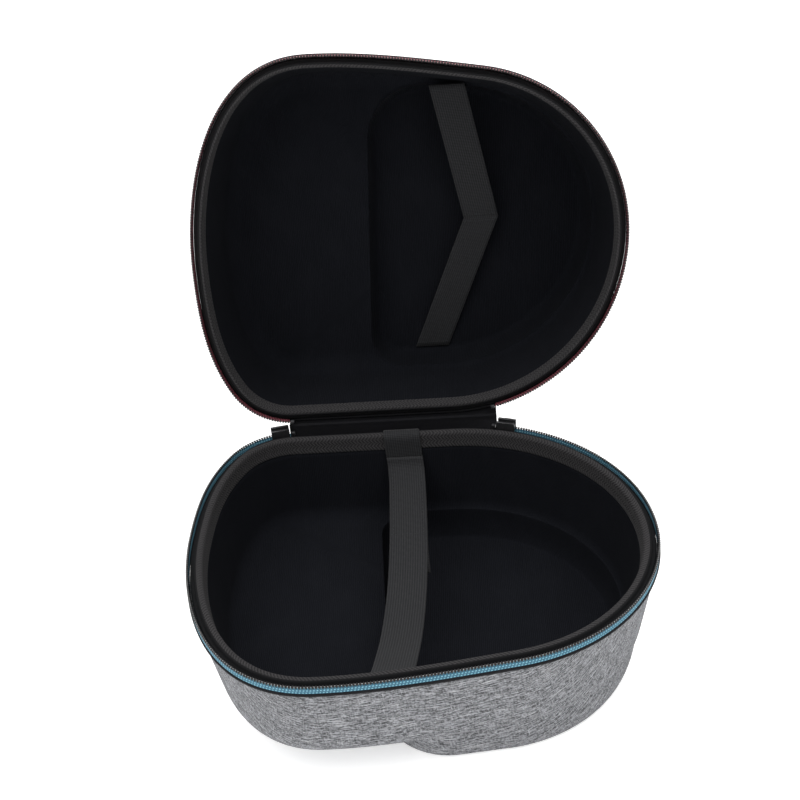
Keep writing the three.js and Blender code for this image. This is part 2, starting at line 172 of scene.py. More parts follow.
def arc(centre, radius, start, end, count=120):
    """Points of an arc between two angles in degrees."""
    a = np.radians(np.linspace(start, end, count))
    return np.stack([centre[0] + radius * np.cos(a), centre[1] + radius * np.sin(a)], axis=1)


def bezier(a, b, c, d, count=120):
    """Points of a cubic curve from a to d, pulled towards b and c."""
    t = np.linspace(0, 1, count)[:, None]
    a, b, c, d = (np.array(p, float) for p in (a, b, c, d))
    return (1 - t) ** 3 * a + 3 * (1 - t) ** 2 * t * b + 3 * (1 - t) * t**2 * c + t**3 * d


def heading(degrees):
    """The unit direction at an angle from +X."""
    return np.array([math.cos(math.radians(degrees)), math.sin(math.radians(degrees))])


class Outline:
    """A closed line that runs clockwise seen from above, with its outward normals."""

    def __init__(self, pieces):
        points = np.vstack([p[:-1] for p in pieces])
        points = np.vstack([points, points[:1]])
        run = run_of(points)
        self.length = run[-1]
        self.run = np.linspace(0, self.length, int(self.length / 0.25) + 1)
        self.points = sampled(points, run, self.run)
        loop = self.points[:-1]
        tangent = unit(np.roll(loop, -2, axis=0) - np.roll(loop, 2, axis=0))
        tangent = np.vstack([tangent, tangent[:1]])
        self.normals = np.stack([-tangent[:, 1], tangent[:, 0]], axis=1)

    def at(self, run):
        """(points, outward normals) at these lengths along the line."""
        run = np.mod(run, self.length)
        return sampled(self.points, self.run, run), sampled(self.normals, self.run, run)

    def inside(self, points):
        """Distance of points inside the line, negative outside it."""
        line = np.vstack([self.points[:-1:8], self.points[:1]])
        start, end = line[:-1], line[1:]
        along = end - start
        length2 = (along**2).sum(1)
        result = np.empty(len(points))
        for first in range(0, len(points), 4000):
            p = points[first : first + 4000, None, :]
            t = np.clip(((p - start) * along).sum(2) / length2, 0, 1)
            gap = np.linalg.norm(p - start - t[..., None] * along, axis=2).min(1)
            crosses = (start[:, 1] > p[..., 1]) != (end[:, 1] > p[..., 1])
            height = np.where(np.abs(along[:, 1]) < 1e-9, 1e-9, along[:, 1])
            x_there = start[:, 0] + (p[..., 1] - start[:, 1]) * along[:, 0] / height
            odd = (crosses & (p[..., 0] < x_there)).sum(1) % 2 == 1
            result[first : first + 4000] = np.where(odd, gap, -gap)
        return result


def rim_outline():
    """The zip's tooth line, from the left end of the straight back edge."""
    right_centre = [NOSE_X - FRONT_RIGHT_RADIUS, BACK_RIGHT_CENTRE[1]]
    front = arc(right_centre, FRONT_RIGHT_RADIUS, 0, -FRONT_RIGHT_TURN)
    front_heading = heading(-90 - FRONT_RIGHT_TURN)
    corner = arc(BACK_LEFT_CENTRE, BACK_LEFT_RADIUS, 90 + BACK_LEFT_TURN, 90)
    corner_heading = heading(BACK_LEFT_TURN)
    return Outline([
        np.array([[BACK_LEFT_CENTRE[0], BACK_Y], [BACK_RIGHT_CENTRE[0], BACK_Y]]),
        arc(BACK_RIGHT_CENTRE, BACK_RIGHT_RADIUS, 90, 0),
        front,
        bezier(front[-1], front[-1] + 30 * front_heading,
               [FRONT_MIDDLE_X + 30, FRONT_Y], [FRONT_MIDDLE_X, FRONT_Y]),
        bezier([FRONT_MIDDLE_X, FRONT_Y], [FRONT_MIDDLE_X - 54, FRONT_Y],
               [LEFT_X, LEFT_MIDDLE_Y - 41], [LEFT_X, LEFT_MIDDLE_Y]),
        bezier([LEFT_X, LEFT_MIDDLE_Y], [LEFT_X, LEFT_MIDDLE_Y + 30],
               corner[0] - 22 * corner_heading, corner[0]),
        corner,
    ])


def platform_outline():
    """The deeper platform's edge: the rim's own arcs, closed by a slanted line on its left."""
    right_centre = [NOSE_X - FRONT_RIGHT_RADIUS, BACK_RIGHT_CENTRE[1]]
    back = BACK_Y - PLATFORM_INSET
    front = arc(right_centre, FRONT_RIGHT_RADIUS - PLATFORM_INSET, 0, -FRONT_RIGHT_TURN)
    left_front = np.array([PLATFORM_FRONT_X, FRONT_Y + PLATFORM_INSET + 3])
    left_back = np.array([PLATFORM_BACK_X, back])
    up, across = unit(np.array([left_back - left_front, front[-1] - left_front]))
    front_a = left_front + PLATFORM_FRONT_CORNER * across
    front_b = left_front + PLATFORM_FRONT_CORNER * up
    back_a = left_back - PLATFORM_BACK_CORNER * up
    back_b = left_back + [PLATFORM_BACK_CORNER, 0]
    return Outline([
        np.array([back_b, [BACK_RIGHT_CENTRE[0], back]]),
        arc(BACK_RIGHT_CENTRE, BACK_RIGHT_RADIUS - PLATFORM_INSET, 90, 0),
        front,
        np.array([front[-1], front_a]),
        rounded_corner(front_a, left_front, front_b),
        np.array([front_b, back_a]),
        rounded_corner(back_a, left_back, back_b),
    ])


def rounded_corner(start, corner, end):
    """A near-circular arc from start to end, inside a corner."""
    pull = 0.5523
    return bezier(start, start + (corner - start) * pull, end + (corner - end) * pull, end)


RIM = rim_outline()
PLATFORM = platform_outline()
ZIP_FROM = (BACK_RIGHT_CENTRE[0] - BACK_LEFT_CENTRE[0]
            + BACK_RIGHT_RADIUS * math.radians(RIGHT_ZIP_START))
ZIP_TO = RIM.length - BACK_LEFT_RADIUS * math.radians(LEFT_ZIP_START)

# ---- halves


class Half:
    """One half of the case. It places points of the mould in the row frame."""

    def __init__(self, name, foam, opened):
        self.name = name
        self.foam = foam
        self.opened = opened
        self.foam_skin = FABRIC_SKIN + LAYER_GAP
        self.lining_skin = self.foam_skin + foam + LAYER_GAP

    def place(self, x, y, height):
        """Points of the mould in the row frame."""
        if not self.opened:
            return np.stack([x, y, RIM_Z + height], axis=-1)
        y, z = y - HINGE_Y, RIM_Z + MEET_GAP - height - HINGE_Z
        c, s = math.cos(self.opened), math.sin(self.opened)
        return np.stack([x, HINGE_Y + y * c + z * s, HINGE_Z - y * s + z * c], axis=-1)

    def direction(self, x, y, height):
        """A direction of the mould in the row frame."""
        zero = np.zeros(3)
        return self.place(x, y, height) - self.place(*zero)


BASE = Half("base", 5.0, 0)
LID = Half("lid", 2.8, OPEN_ANGLE)

# ---- meshes


def add_object(name, data):
    """A new object in the scene."""
    thing = bpy.data.objects.new(name, data)
    bpy.context.scene.collection.objects.link(thing)
    return thing


def turned_out(points, faces):
    """The faces wound so that a closed mesh faces out."""
    volume = 0.0
    for size in {len(f) for f in faces}:
        f = np.array([f for f in faces if len(f) == size])
        for i in range(1, size - 1):
            a, b, c = points[f[:, 0]], points[f[:, i]], points[f[:, i + 1]]
            volume += (a * np.cross(b, c)).sum()
    return [f[::-1] for f in faces] if volume < 0 else faces


def make_piece(name, body, points, faces, material, corner_uv=None, slot=None, replaces=()):
    """A smooth piece from points in millimetres. corner_uv gives, for each face, the cloth
    coordinates of its corners."""
    points = np.asarray(points, float).reshape(-1, 3)
    faces = [list(f) for f in faces]
    outward = turned_out(points, faces)
    if corner_uv is not None and outward is not faces:
        corner_uv = [uv[::-1] for uv in corner_uv]
    mesh = bpy.data.meshes.new(name)
    mesh.from_pydata((points * MM).tolist(), [], outward)
    mesh.polygons.foreach_set("use_smooth", [True] * len(mesh.polygons))
    if corner_uv is not None:
        layer = mesh.uv_layers.new(name="cloth")
        layer.data.foreach_set("uv", np.concatenate([np.ravel(uv) for uv in corner_uv]))
    mesh.update()
    piece = add_object(name, mesh)
    piece.data.materials.append(material)
    if body:
        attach(piece, body)
    if replaces:
        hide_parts(*replaces)
    return piece


def grid_faces(rows, columns, wrap_rows=False, wrap_columns=True):
    """(faces of a grid of points, the row and column of each corner, not wrapped round)."""
    r, c = np.meshgrid(
        np.arange(rows if wrap_rows else rows - 1),
        np.arange(columns if wrap_columns else columns - 1),
        indexing="ij",
    )
    r, c = r.ravel(), c.ravel()
    row = np.stack([r, r, r + 1, r + 1], axis=1)
    column = np.stack([c, c + 1, c + 1, c], axis=1)
    return (row % rows) * columns + column % columns, np.stack([row, column], axis=2)


def tube_piece(name, body, rings, material, u, v, closed=False, **facts):
    """A closed tube through rings of points. u runs along it and v around it, in
    millimetres, each with one more value than there are rings, or points in a ring."""
    rows, columns = rings.shape[:2]
    faces, corners = grid_faces(rows, columns, wrap_rows=closed)
    uv = np.stack([u[corners[..., 0]], v[corners[..., 1]]], axis=2)
    faces, uv = list(faces), list(uv)
    if not closed:
        flat = np.zeros((columns, 2))
        faces += [np.arange(columns)[::-1], (rows - 1) * columns + np.arange(columns)]
        uv += [flat + [u[0], 0], flat + [u[rows - 1], 0]]
    return make_piece(name, body, rings, faces, material, uv, **facts)


def around(section):
    """Length round a closed section, with one more value than it has points."""
    return run_of(np.vstack([section, section[:1]]))


def rounded_section(points, per_side=5):
    """A closed section with its corners rounded by a curve through all its points."""
    p = np.array(points, float)
    looped = np.vstack([p[-2:], p, p[:2]])
    curve = smooth_path(looped, len(looped) * per_side)
    run = run_of(curve)
    start = run[np.linalg.norm(curve - p[0], axis=1)[: len(curve) // 2].argmin()]
    back = len(curve) // 2 + np.linalg.norm(curve - p[0], axis=1)[len(curve) // 2 :].argmin()
    return sampled(curve, run, np.linspace(start, run[back], len(p) * per_side + 1)[:-1])


def trim_piece(half, name, section, material, step=2.4, span=None, **facts):
    """A section of (outward, height) points carried along the rim, or along its zip."""
    closed = span is None
    first, last = span or (0, RIM.length)
    count = int((last - first) / step)
    run = np.linspace(first, last, count, endpoint=not closed)
    points, normals = RIM.at(run)
    section = np.array(section, float)
    x = points[:, :1] + normals[:, :1] * section[:, 0]
    y = points[:, 1:] + normals[:, 1:] * section[:, 0]
    height = np.broadcast_to(section[:, 1], x.shape)
    u = np.append(run, last if closed else last + step)
    return tube_piece(half.name + name, half.name, half.place(x, y, height), material, u,
                      around(section), closed=closed, **facts)


# ---- moulded layers


def platform_height(distance):
    """Height over the platform's floor at a distance inside its edge."""
    curve = smooth_path(PLATFORM_EDGE, 200)
    steep = 30
    return np.interp(distance, curve[:, 0], curve[:, 1]) + steep * np.maximum(-distance, 0)


def smooth_max(a, b, blend):
    """The greater of a and b, with a soft step where they cross."""
    gap = a - b
    soft = np.sqrt((gap / 2) ** 2 + blend**2)
    return (a + b) / 2 + soft - blend * np.exp(-np.abs(gap) / BLEND_SPREAD)


def mould_lines(skin, mouth):
    """Lines down the mould under a skin, from its mouth to the pole of its floor. Returns
    (x, y, depth), each with a row for every station, and the rim's normals there."""
    lean = math.atan(WALL_SLOPE)
    radius = BOTTOM_RADIUS - skin
    floor = SHELL_DEPTH - skin
    wall_end = floor - radius * (1 - math.sin(lean))
    wall_depth = np.linspace(mouth, wall_end, WALL_POINTS)
    wall_inset = skin - FABRIC_PROUD + WALL_SLOPE * wall_depth
    turn = np.linspace(lean, math.pi / 2, CORNER_POINTS)[1:]
    fillet_inset = wall_inset[-1] + radius * (math.cos(lean) - np.cos(turn))
    fillet_depth = wall_end + radius * (np.sin(turn) - math.sin(lean))
    inset = np.concatenate([wall_inset, fillet_inset])
    points, normals = RIM.at(np.arange(STATIONS) * RIM.length / STATIONS)
    edge = points[:, None, :] - normals[:, None, :] * inset[None, :, None]
    share = np.linspace(0, 1, FLOOR_POINTS)[1:, None]
    inner = edge[:, -1:, :] * (1 - share) + POLE * share
    xy = np.concatenate([edge, inner], axis=1)
    cup = np.concatenate([wall_depth, fillet_depth, np.full(len(share), floor)])
    cup = np.broadcast_to(cup, xy.shape[:2])
    distance = PLATFORM.inside(xy.reshape(-1, 2)).reshape(xy.shape[:2]) - skin
    deep = PLATFORM_DEPTH - skin - platform_height(distance)
    return xy[..., 0], xy[..., 1], smooth_max(cup, deep, PLATFORM_BLEND), normals


@functools.cache
def mould_rings(skin, mouth, count):
    """Rings of points (x, y, depth) on the mould, closer together where it bends, and their
    places on the cloth before it was moulded."""
    x, y, depth, normals = mould_lines(skin, mouth)
    rings = np.empty((count, STATIONS, 3))
    cloth = np.empty((count, STATIONS, 2))
    bend_weight = 8
    window = np.hanning(11) / np.hanning(11).sum()
    for i in range(STATIONS):
        line = np.stack([x[i], y[i], depth[i]], axis=1)
        flat = run_of(line[:, :2])
        run = run_of(line)
        even = np.linspace(0, run[-1], LINE_POINTS)
        along = np.interp(even, run, flat)
        down = np.interp(even, run, line[:, 2])
        slope = np.unwrap(np.arctan2(np.gradient(down), np.gradient(along)))
        turn = np.convolve(np.abs(np.gradient(slope)), window, mode="same")
        cost = np.cumsum(0.5 * (even[1] - even[0]) + bend_weight * turn)
        at = np.interp(np.linspace(cost[0], cost[-1], count + 1)[:-1], cost, even)
        rings[:, i] = sampled(line, run, at)
        extra = (run[-1] - at) - (flat[-1] - np.interp(at, run, flat))
        cloth[:, i] = rings[:, i, :2] + normals[i] * extra[:, None]
    return rings, cloth


def layer_piece(half, name, outer, inner, mouth, rings, material, **facts):
    """One layer of the moulded wall, from an outer to an inner skin. rings gives how many
    rings of points each side has."""
    sides = [mould_rings(skin, mouth, count) for skin, count in zip((inner, outer), rings)]
    points = np.concatenate([sides[0][0][::-1], sides[1][0]])
    cloth = np.concatenate([sides[0][1][::-1], sides[1][1]])
    rows = len(points)
    faces, _ = grid_faces(rows, STATIONS)
    station = np.arange(STATIONS)
    after = (station + 1) % STATIONS
    poles = rows * STATIONS, rows * STATIONS + 1
    last = (rows - 1) * STATIONS
    first_fan = np.stack([after, station, np.full(STATIONS, poles[0])], axis=1)
    last_fan = np.stack([last + station, last + after, np.full(STATIONS, poles[1])], axis=1)
    cloth_at = np.vstack([cloth.reshape(-1, 2), POLE, POLE])
    all_faces = [*faces, *first_fan, *last_fan]
    uv = [cloth_at[f] for f in all_faces]
    floors = [[*POLE, PLATFORM_DEPTH - skin] for skin in (inner, outer)]
    x, y, depth = np.vstack([points.reshape(-1, 3), floors]).T
    placed = half.place(x, y, -depth)
    return make_piece(half.name + name, half.name, placed, all_faces, material, uv, **facts)


# ---- material nodes


class Shader:
    """A Principled material in the making. Its patterns read the cloth coordinates, or the
    object's own where a piece has none, in millimetres."""

    def __init__(self, name, roughness, on_cloth=True, **sockets):
        self.material = bpy.data.materials.new(name)
        self.material.use_nodes = True
        self.tree = self.material.node_tree
        self.bsdf = self.tree.nodes["Principled BSDF"]
        self.bsdf.inputs["Roughness"].default_value = roughness
        for socket, value in sockets.items():
            self.bsdf.inputs[socket].default_value = value
        coordinates = self.node("ShaderNodeTexCoord")
        self.place = coordinates.outputs["UV" if on_cloth else "Object"]
        self.unit = 1 if on_cloth else 1 / MM

    def node(self, kind, inputs=None, **settings):
        """A new node, with links or plain values for its inputs."""
        node = self.tree.nodes.new(kind)
        for key, value in settings.items():
            setattr(node, key, value)
        for socket, value in (inputs or {}).items():
            self.feed(node.inputs[socket], value)
        return node

    def feed(self, socket, value):
        """Gives a socket a link or a plain value."""
        if isinstance(value, bpy.types.NodeSocket):
            self.tree.links.new(value, socket)
        else:
            socket.default_value = value

    def stretched(self, size, turn=0.0, shift=0.0):
        """Coordinates in which one unit is size millimetres, after turning them."""
        turned = self.node("ShaderNodeMapping", {
            "Vector": self.place, "Rotation": (0, 0, math.radians(turn))})
        sized = self.node("ShaderNodeMapping", {
            "Vector": turned.outputs["Vector"],
            "Scale": [self.unit / s for s in (*size, size[-1])[:3]],
            "Location": (shift, shift, shift)})
        return sized.outputs["Vector"]

    def noise(self, size, turn=0.0, shift=0.0, detail=2.0, rough=0.5):
        """Noise from 0 to 1 in spots of size millimetres."""
        node = self.node("ShaderNodeTexNoise", {
            "Vector": self.stretched(size, turn, shift), "Scale": 1, "Detail": detail,
            "Roughness": rough})
        return node.outputs["Fac"]

    def ribs(self, size, turn=0.0, distortion=0.0):
        """Ribs across the first coordinate, one each size millimetres."""
        node = self.node("ShaderNodeTexWave", {
            "Vector": self.stretched((size, 40), turn), "Scale": math.pi / 10,
            "Distortion": distortion, "Detail Scale": 3})
        return node.outputs["Fac"]

    def maths(self, operation, *values):
        node = self.node("ShaderNodeMath", operation=operation)
        for socket, value in zip(node.inputs, values):
            self.feed(socket, value)
        return node.outputs["Value"]

    def times(self, a, b):
        return self.maths("MULTIPLY", a, b)

    def sum_of(self, *parts):
        """The sum of parts, each a value and its weight."""
        total = 0.0
        for value, weight in parts:
            total = self.maths("MULTIPLY_ADD", value, weight, total)
        return total

    def step(self, value, low, high):
        """A soft step, from 0 at low to 1 at high."""
        node = self.node("ShaderNodeMapRange", {"Value": value, "From Min": low, "From Max": high},
                         interpolation_type="SMOOTHSTEP")
        return node.outputs["Result"]

    def mix(self, a, b, share):
        node = self.node("ShaderNodeMix", data_type="RGBA")
        colours = [s for s in node.inputs if s.type == "RGBA"]
        self.feed(node.inputs["Factor"], share)
        for socket, value in zip(colours, (a, b)):
            self.feed(socket, value)
        return next(s for s in node.outputs if s.type == "RGBA")

    def colour(self, value):
        self.feed(self.bsdf.inputs["Base Color"], value)

    def roughness(self, value, low, high):
        self.feed(self.bsdf.inputs["Roughness"],
                  self.maths("MULTIPLY_ADD", value, high - low, low))

    def bump(self, height, depth, strength=1.0):
        """Adds height, from 0 to 1, as relief of that depth in millimetres."""
        node = self.node("ShaderNodeBump", {
            "Height": height, "Distance": depth * MM, "Strength": strength})
        before = self.bsdf.inputs["Normal"].links
        if before:
            self.feed(node.inputs["Normal"], before[0].from_socket)
        self.feed(self.bsdf.inputs["Normal"], node.outputs["Normal"])


def grey(value, blue=0.0):
    """A grey colour, a share bluer than neutral."""
    return (value, value * (1 + blue / 4), value * (1 + blue), 1)


# ---- materials


def melange_fabric():
    """Linen-like cloth: light and dark yarns both ways, slubs and a few bright fibres."""
    s = Shader("melange_fabric", 0.9, **{"Specular IOR Level": 0.3})
    weft = s.noise((6.0, 0.75), detail=3)
    warp = s.noise((0.75, 4.0), shift=7, detail=2)
    grain = s.noise((1.6, 0.7), shift=13, detail=1)
    cloud = s.noise((14, 9), shift=3)
    tone = s.sum_of((weft, 0.46), (warp, 0.18), (grain, 0.3), (cloud, 0.06))
    base = s.mix(grey(0.045, 0.08), grey(0.33, 0.08), s.step(tone, 0.4, 0.62))
    slub = s.step(s.noise((16.0, 0.6), shift=21, detail=1), 0.62, 0.70)
    fleck = s.step(s.noise((4.0, 0.6), shift=43, detail=1), 0.68, 0.76)
    upright_slub = s.step(s.noise((0.6, 8.0), shift=31, detail=1), 0.66, 0.74)
    bright = s.maths("MAXIMUM", s.maths("MAXIMUM", slub, fleck), s.times(upright_slub, 0.6))
    s.colour(s.mix(base, grey(0.62, 0.03), s.times(bright, 0.6)))
    yarns = s.maths("MAXIMUM", s.ribs(0.62, 90, 1.2), s.ribs(0.62, 0, 1.2))
    s.bump(yarns, 0.1, 0.5)
    s.bump(tone, 0.6, 0.5)
    s.roughness(tone, 0.8, 0.98)
    return s.material


def tricot_lining():
    """Near-black brushed knit with fine ribs, a little fuzz and lint."""
    s = Shader("tricot_lining", 0.95, **{"Specular IOR Level": 0.12})
    ribs = s.ribs(1.0, 0, 0.8)
    fuzz = s.noise((0.8, 1.6), detail=3)
    cloud = s.noise((18, 26), shift=5)
    base = s.mix((0.0026, 0.0030, 0.0045, 1), (0.0070, 0.0078, 0.0108, 1), ribs)
    base = s.mix(base, (0.0085, 0.0092, 0.0122, 1), s.times(s.step(cloud, 0.4, 0.75), 0.25))
    lint = s.step(s.noise((0.5, 0.5), shift=17, detail=0), 0.82, 0.88)
    s.colour(s.mix(base, grey(0.04, 0.1), s.times(lint, 0.6)))
    s.bump(ribs, 0.16, 0.7)
    s.bump(fuzz, 0.2, 0.4)
    s.roughness(fuzz, 0.9, 1.0)
    return s.material


def binding_knit():
    """Dark grey knitted tape: slanted stitches that turn back like a herringbone."""
    s = Shader("binding_knit", 0.9, **{"Specular IOR Level": 0.2, "Sheen Weight": 0.03})
    left = s.ribs(1.5, 38, 0.8)
    right = s.ribs(1.5, -38, 0.8)
    row = s.step(s.ribs(4.2, 90), 0.42, 0.58)
    stitch = s.sum_of((left, row), (right, s.maths("SUBTRACT", 1.0, row)))
    fuzz = s.noise((1.0, 0.7), detail=3)
    base = s.mix((0.010, 0.0096, 0.0104, 1), (0.040, 0.038, 0.0395, 1), stitch)
    s.colour(s.mix(base, (0.046, 0.044, 0.0455, 1), s.times(s.step(fuzz, 0.45, 0.75), 0.6)))
    s.bump(stitch, 0.22, 0.8)
    s.bump(fuzz, 0.2, 0.4)
    s.roughness(fuzz, 0.85, 1.0)
    return s.material


def zip_tape(name, dark, light):
    """Woven tape: ribs across it and rows of lighter chain stitches along it."""
    s = Shader(name, 0.75, **{"Specular IOR Level": 0.3})
    across = s.ribs(0.75, 0, 0.3)
    rows = s.ribs(1.35, 90)
    slant = s.ribs(1.45, 18, 0.3)
    chain = s.times(s.step(rows, 0.3, 0.7), s.step(slant, 0.4, 0.75))
    fuzz = s.noise((0.7, 0.5), detail=2)
    s.colour(s.mix(dark, light, s.sum_of((chain, 0.8), (fuzz, 0.3))))
    s.bump(across, 0.12, 0.6)
    s.bump(chain, 0.2, 0.8)
    s.roughness(fuzz, 0.6, 0.85)
    return s.material


def nylon_coil():
    """Black nylon monofilament, a little scuffed where the slider rubs it."""
    s = Shader("nylon_coil", 0.35, on_cloth=False)
    scuff = s.noise((0.7, 0.7, 0.7), detail=3)
    s.colour(s.mix((0.004, 0.004, 0.0045, 1), (0.018, 0.018, 0.019, 1), s.step(scuff, 0.5, 0.75)))
    s.roughness(scuff, 0.22, 0.45)
    s.bump(scuff, 0.06, 0.4)
    return s.material


def sewing_thread(name, dark, light):
    """Twisted thread with a slight shine."""
    s = Shader(name, 0.6, on_cloth=False, **{"Specular IOR Level": 0.3})
    twist = s.noise((0.25, 0.25, 0.25), detail=2)
    s.colour(s.mix(dark, light, s.step(twist, 0.35, 0.65)))
    s.roughness(twist, 0.45, 0.7)
    s.bump(twist, 0.08, 0.6)
    return s.material


def black_weave(name, dark, light, pitch, turn=0):
    """Plain black weave, used for the hinge, the piping and the zip's inner edge."""
    s = Shader(name, 0.88, **{"Specular IOR Level": 0.15})
    warp = s.ribs(pitch, turn, 0.5)
    weft = s.ribs(pitch, turn + 90, 0.5)
    weave = s.maths("MAXIMUM", warp, weft)
    fuzz = s.noise((1.2, 1.2), detail=3)
    s.colour(s.mix(dark, light, s.sum_of((weave, 0.5), (fuzz, 0.5))))
    s.bump(weave, 0.18, 0.8)
    s.roughness(fuzz, 0.75, 0.95)
    return s.material


def elastic_webbing():
    """Ribbed elastic: cords along its length, crossed by a fine tight weave."""
    s = Shader("elastic_webbing", 0.85,
               **{"Specular IOR Level": 0.2, "Sheen Weight": 0.06, "Sheen Roughness": 0.4})
    cords = s.ribs(1.25, 90, 0.2)
    weft = s.ribs(0.9, 0, 0.6)
    fuzz = s.noise((2.5, 0.8), detail=3)
    tone = s.step(s.sum_of((cords, 0.3), (weft, 0.3), (fuzz, 0.4)), 0.2, 0.9)
    s.colour(s.mix((0.009, 0.0092, 0.0100, 1), (0.034, 0.0345, 0.0370, 1), tone))
    s.bump(cords, 0.1, 0.6)
    s.bump(weft, 0.1, 0.6)
    s.roughness(fuzz, 0.8, 0.95)
    return s.material


def hook_and_loop():
    """Fine napped loops, matt and uneven."""
    s = Shader("hook_and_loop", 0.95, **{"Specular IOR Level": 0.2, "Sheen Weight": 0.05})
    loops = s.noise((0.5, 0.5), detail=4, rough=0.7)
    s.colour(s.mix((0.004, 0.004, 0.005, 1), (0.028, 0.028, 0.031, 1), s.step(loops, 0.4, 0.7)))
    s.bump(loops, 0.5, 1.0)
    s.roughness(loops, 0.85, 1.0)
    return s.material


def moulded_foam():
    """Black closed-cell foam: a fine pebbled skin."""
    s = Shader("moulded_foam", 0.8)
    cells = s.noise((0.9, 0.9), detail=4)
    s.colour(s.mix((0.012, 0.012, 0.013, 1), (0.03, 0.03, 0.032, 1), cells))
    s.bump(cells, 0.25, 0.7)
    s.roughness(cells, 0.65, 0.9)
    return s.material


def gunmetal():
    """Painted dark metal, rubbed bright in small patches along its edges."""
    s = Shader("gunmetal", 0.38, on_cloth=False, Metallic=0.85)
    grain = s.noise((0.35, 0.35, 1.4), detail=3)
    edge = s.node("ShaderNodeBevel", {"Radius": 0.25 * MM}, samples=4)
    flat = s.node("ShaderNodeNewGeometry")
    apart = s.node("ShaderNodeVectorMath", operation="DOT_PRODUCT")
    s.feed(apart.inputs[0], edge.outputs["Normal"])
    s.feed(apart.inputs[1], flat.outputs["Normal"])
    turned = s.maths("SUBTRACT", 1.0, apart.outputs["Value"])
    worn = s.times(s.step(turned, 0.02, 0.2), s.step(grain, 0.4, 0.6))
    base = s.mix((0.05, 0.05, 0.054, 1), (0.11, 0.11, 0.115, 1), grain)
    s.colour(s.mix(base, (0.42, 0.42, 0.43, 1), worn))
    s.roughness(grain, 0.28, 0.5)
    s.bump(grain, 0.05, 0.4)
    return s.material


def soft_grip():
    """Moulded rubber with a fine matt texture and a few rubbed spots."""
    s = Shader("soft_grip", 0.7, on_cloth=False)
    grain = s.noise((0.4, 0.4, 0.4), detail=3)
    rub = s.noise((3, 3, 5), shift=4)
    base = s.mix((0.01, 0.01, 0.011, 1), (0.022, 0.022, 0.024, 1), grain)
    s.colour(s.mix(base, (0.04, 0.04, 0.042, 1), s.step(rub, 0.5, 0.75)))
    s.bump(grain, 0.12, 0.6)
    s.roughness(rub, 0.55, 0.8)
    return s.material


FABRIC = melange_fabric()
LINING = tricot_lining()
BINDING = binding_knit()
FOAM = moulded_foam()
COIL = nylon_coil()
BLUE_TAPE = zip_tape("blue_zip_tape", (0.014, 0.085, 0.150, 1), (0.24, 0.50, 0.60, 1))
RED_TAPE = zip_tape("red_zip_tape", (0.10, 0.012, 0.022, 1), (0.48, 0.16, 0.19, 1))
# Real sewing thread, coloured pale and rose so that its dots also act as painted highlights on the
# black teeth.
PALE_HIGHLIGHT_THREAD = sewing_thread("pale_thread_painted_highlight", (0.16, 0.16, 0.165, 1), (0.50, 0.50, 0.50, 1))
ROSE_HIGHLIGHT_THREAD = sewing_thread("rose_thread_painted_highlight", (0.18, 0.11, 0.11, 1), (0.46, 0.34, 0.34, 1))
DARK_THREAD = sewing_thread("dark_thread", (0.006, 0.006, 0.007, 1), (0.022, 0.022, 0.025, 1))
PIPING = black_weave("edge_piping", (0.004, 0.004, 0.005, 1), (0.016, 0.016, 0.018, 1),
                     pitch=0.8, turn=30)
ZIP_SELVEDGE = black_weave("zip_selvedge", (0.003, 0.003, 0.0035, 1), (0.010, 0.010, 0.011, 1),
                           pitch=0.6, turn=45)
HINGE_CLOTH = black_weave("hinge_cloth", (0.003, 0.003, 0.004, 1), (0.011, 0.011, 0.013, 1),
                          pitch=0.7)
ELASTIC = elastic_webbing()
HOOK = hook_and_loop()
METAL = gunmetal()
GRIP = soft_grip()

# ---- shells


def shell(half):
    """The cover, foam core and lining of one half."""
    name = half.name
    layer_piece(half, "_cover", 0, FABRIC_SKIN, FABRIC_MOUTH, (HIDDEN_RINGS, SEEN_RINGS), FABRIC,
                slot="melange_fabric", replaces=[name + "_outer_fabric"])
    layer_piece(half, "_foam_core", half.foam_skin, half.foam_skin + half.foam, FOAM_MOUTH,
                (HIDDEN_RINGS, HIDDEN_RINGS), FOAM,
                slot="eva_foam", replaces=[name + "_foam_shell"])
    layer_piece(half, "_inner_lining", half.lining_skin, half.lining_skin + LINING_SKIN,
                LINING_MOUTH, (SEEN_RINGS, HIDDEN_RINGS), LINING,
                slot="tricot_lining", replaces=[name + "_lining"])


# ---- rim trim


def wall_out(depth, skin):
    """How far out from the tooth line the wall is, at a depth and under a skin."""
    return FABRIC_PROUD - skin - WALL_SLOPE * depth


def rim_band(half):
    """The knitted band that wraps the foam's edge, with a groove beside the teeth."""
    leg = half.lining_skin
    inner = leg + BAND_OVER
    end = 8.6
    section = rounded_section([
        (-1.1, -2.9), (-1.15, -2.3), (-1.9, -2.1), (-2.7, -1.95), (-3.25, -1.3), (-3.4, -0.5),
        (-4.1, 0.0), (-5.6, 0.08), (wall_out(1, inner) + 0.3, -0.6),
        (wall_out(2.4, inner), -2.4), (wall_out(5, inner), -5.2), (wall_out(end, inner), -end),
        (wall_out(end, leg), -end), (wall_out(5, leg), -5.2), (wall_out(3.4, leg), -3.2),
        (-3.4, -2.9),
    ], 4)
    trim_piece(half, "_rim_band", section, BINDING,
               slot="binding_twill", replaces=[half.name + "_rim_binding"])


def zip_selvedge(half):
    """The zip's black inner edge, which lies over the band's shoulder beside the teeth."""
    over = np.array([(-1.2, -2.2), (-1.9, -1.95), (-2.7, -1.8), (-3.1, -1.25), (-3.2, -0.6),
                     (-3.45, -0.15), (-3.8, 0.1), (-4.1, 0.13), (-4.3, 0.07)])
    under = over[::-1] + [-0.14, -0.22]
    trim_piece(half, "_zip_selvedge", np.vstack([over, under]), ZIP_SELVEDGE)


